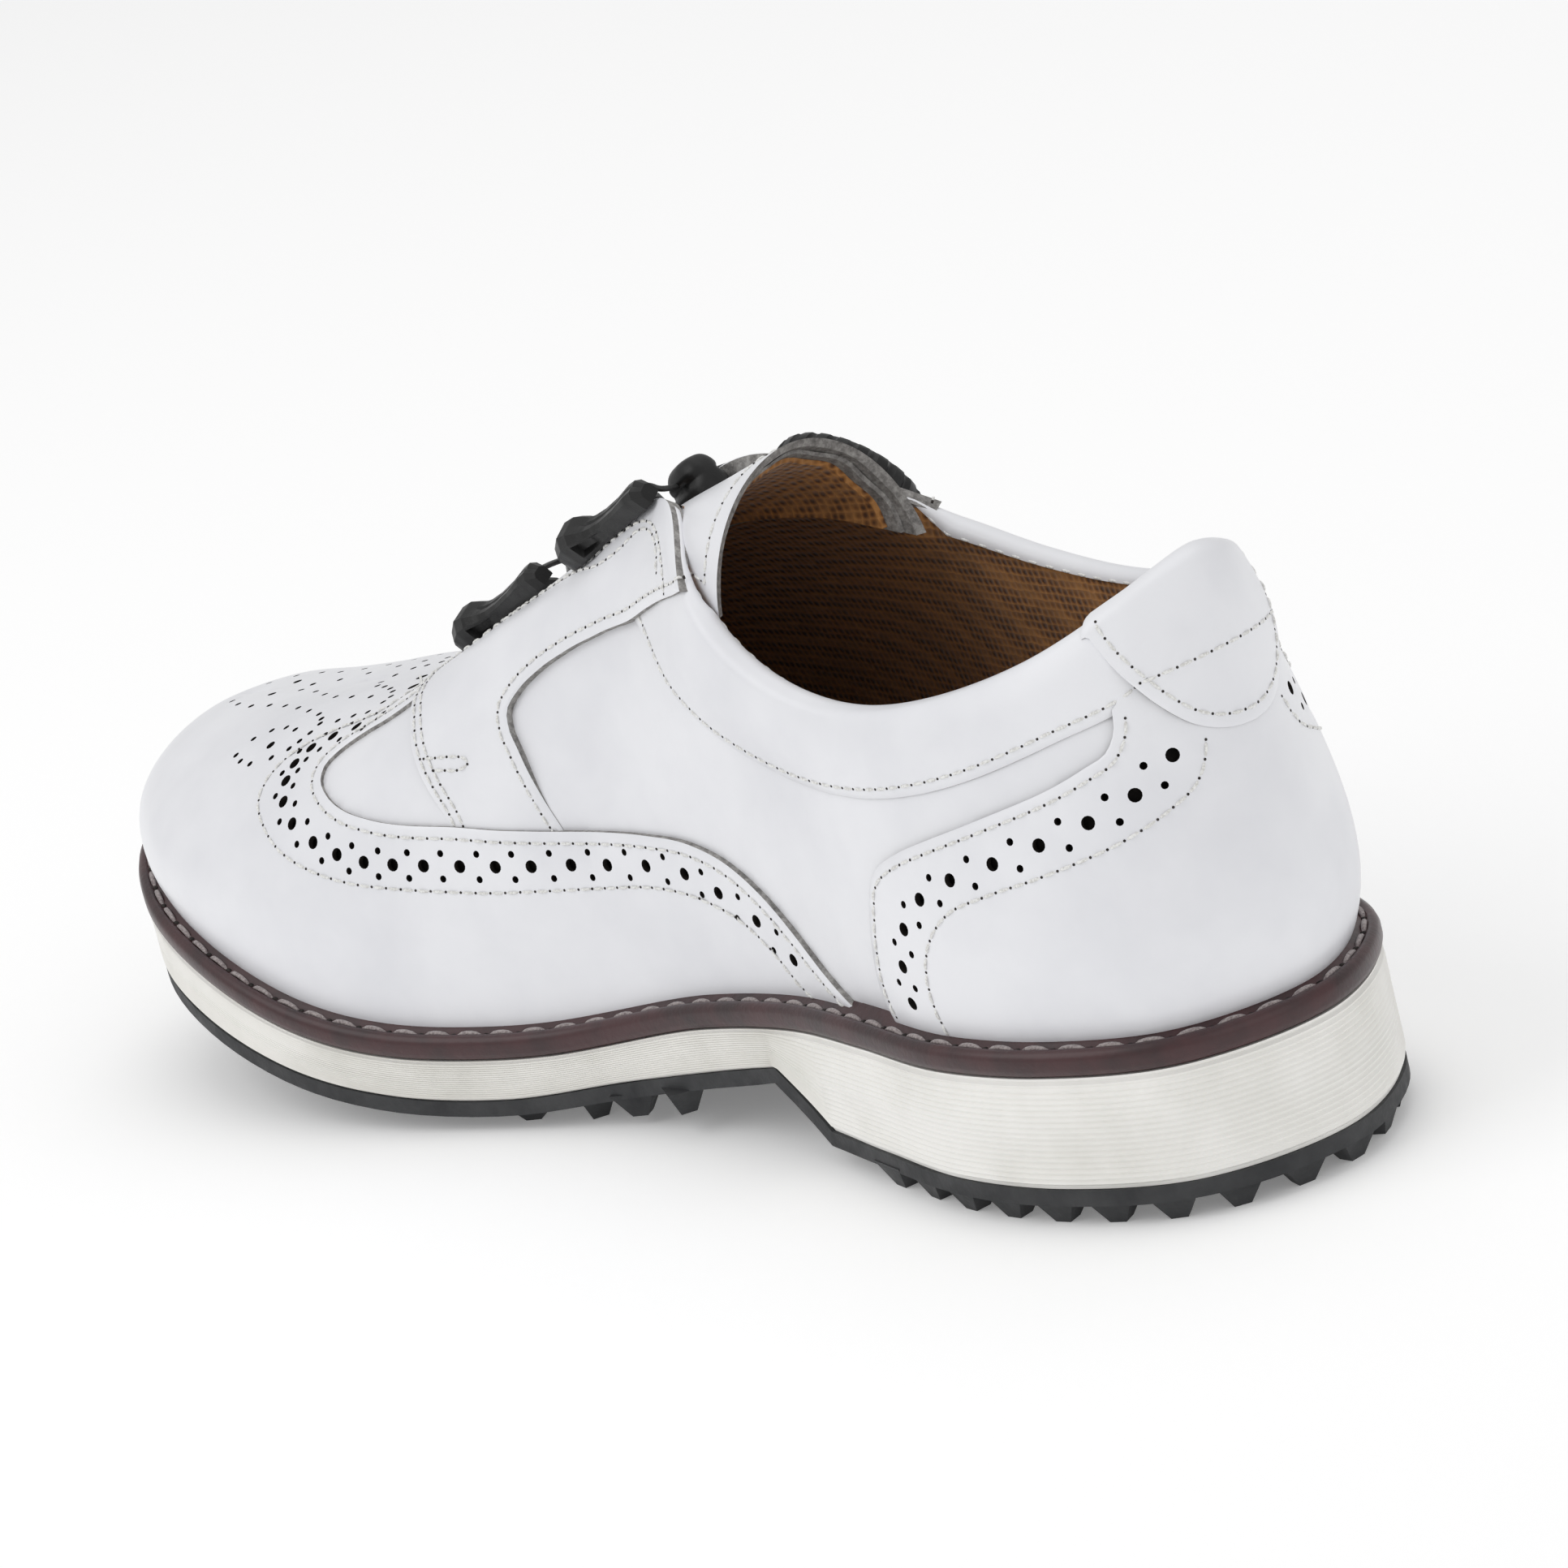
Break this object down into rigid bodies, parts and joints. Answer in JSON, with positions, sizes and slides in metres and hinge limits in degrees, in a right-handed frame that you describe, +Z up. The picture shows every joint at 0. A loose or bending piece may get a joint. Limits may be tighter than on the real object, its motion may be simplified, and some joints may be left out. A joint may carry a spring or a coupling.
{
  "type": "golf shoe",
  "caption": "Low-cut men's leather golf shoe with wingtip toe, stitched welt, foam midsole, soft-lug rubber sole and a turning lace dial.",
  "frame": {"origin": "on the ground, under the middle of the shoe's box", "axes": "+X to the toe, +Y to the medial side of this right shoe, +Z up"},
  "size_m": [0.302, 0.1072, 0.123],
  "materials": {
    "white_leather": "smooth white leather with cut grey edges",
    "welt": "dark oxblood storm welt with a stitched groove",
    "midsole": "off-white foam with fine lines along the side",
    "outsole_rubber": "dark grey rubber",
    "brown_mesh": "brown spacer mesh",
    "foam": "soft foam",
    "stiffener": "thermoplastic sheet",
    "board": "fibre board",
    "cork": "cork paste",
    "steel": "spring steel",
    "black_plastic": "black moulded plastic",
    "lace": "coated steel cable"
  },
  "bodies": {
    "shoe": {"cork_filler": "cork", "dial_base": "black_plastic", "heel_counter": "stiffener", "heel_foxing": "white_leather", "heel_tab": "white_leather", "insole_board": "board", "lace_cable": "lace", "lateral_anchor": "black_plastic", "lateral_backing": "foam", "lateral_collar": "white_leather", "lateral_collar_foam": "foam", "lateral_eyestay": "white_leather", "lateral_eyestay_stay": "stiffener", "lateral_guide": "black_plastic", "lateral_quarter": "white_leather", "lateral_quarter_lining": "brown_mesh", "lateral_vamp_wing": "white_leather", "medial_backing": "foam", "medial_collar": "white_leather", "medial_collar_foam": "foam", "medial_eyestay": "white_leather", "medial_eyestay_stay": "stiffener", "medial_lower_guide": "black_plastic", "medial_quarter": "white_leather", "medial_quarter_lining": "brown_mesh", "medial_upper_guide": "black_plastic", "medial_vamp_wing": "white_leather", "midsole": "midsole", "outsole": "outsole_rubber", "shank": "steel", "sockliner": "foam", "toe_puff": "stiffener", "tongue_foam": "foam", "tongue_guide": "black_plastic", "tongue_leather": "white_leather", "tongue_lining": "brown_mesh", "vamp_lining": "brown_mesh", "welt": "welt", "wingtip_toe_cap": "white_leather"},
    "spool": {"dial_spool": "black_plastic"},
    "knob": {"dial_knob": "black_plastic", "dial_ratchet": "black_plastic", "dial_screw": "steel"}
  },
  "joints": [
    {"name": "dial_turn", "type": "hinge", "parent": "shoe", "child": "spool", "pos_m": [-0.014, -0.0288, 0.0942], "axis": [0.0801, -0.8309, 0.5506], "continuous": true},
    {"name": "knob_lift", "type": "slide", "parent": "spool", "child": "knob", "axis": [0.0801, -0.8309, 0.5506], "range_m": [0, 0.0025]}
  ]
}
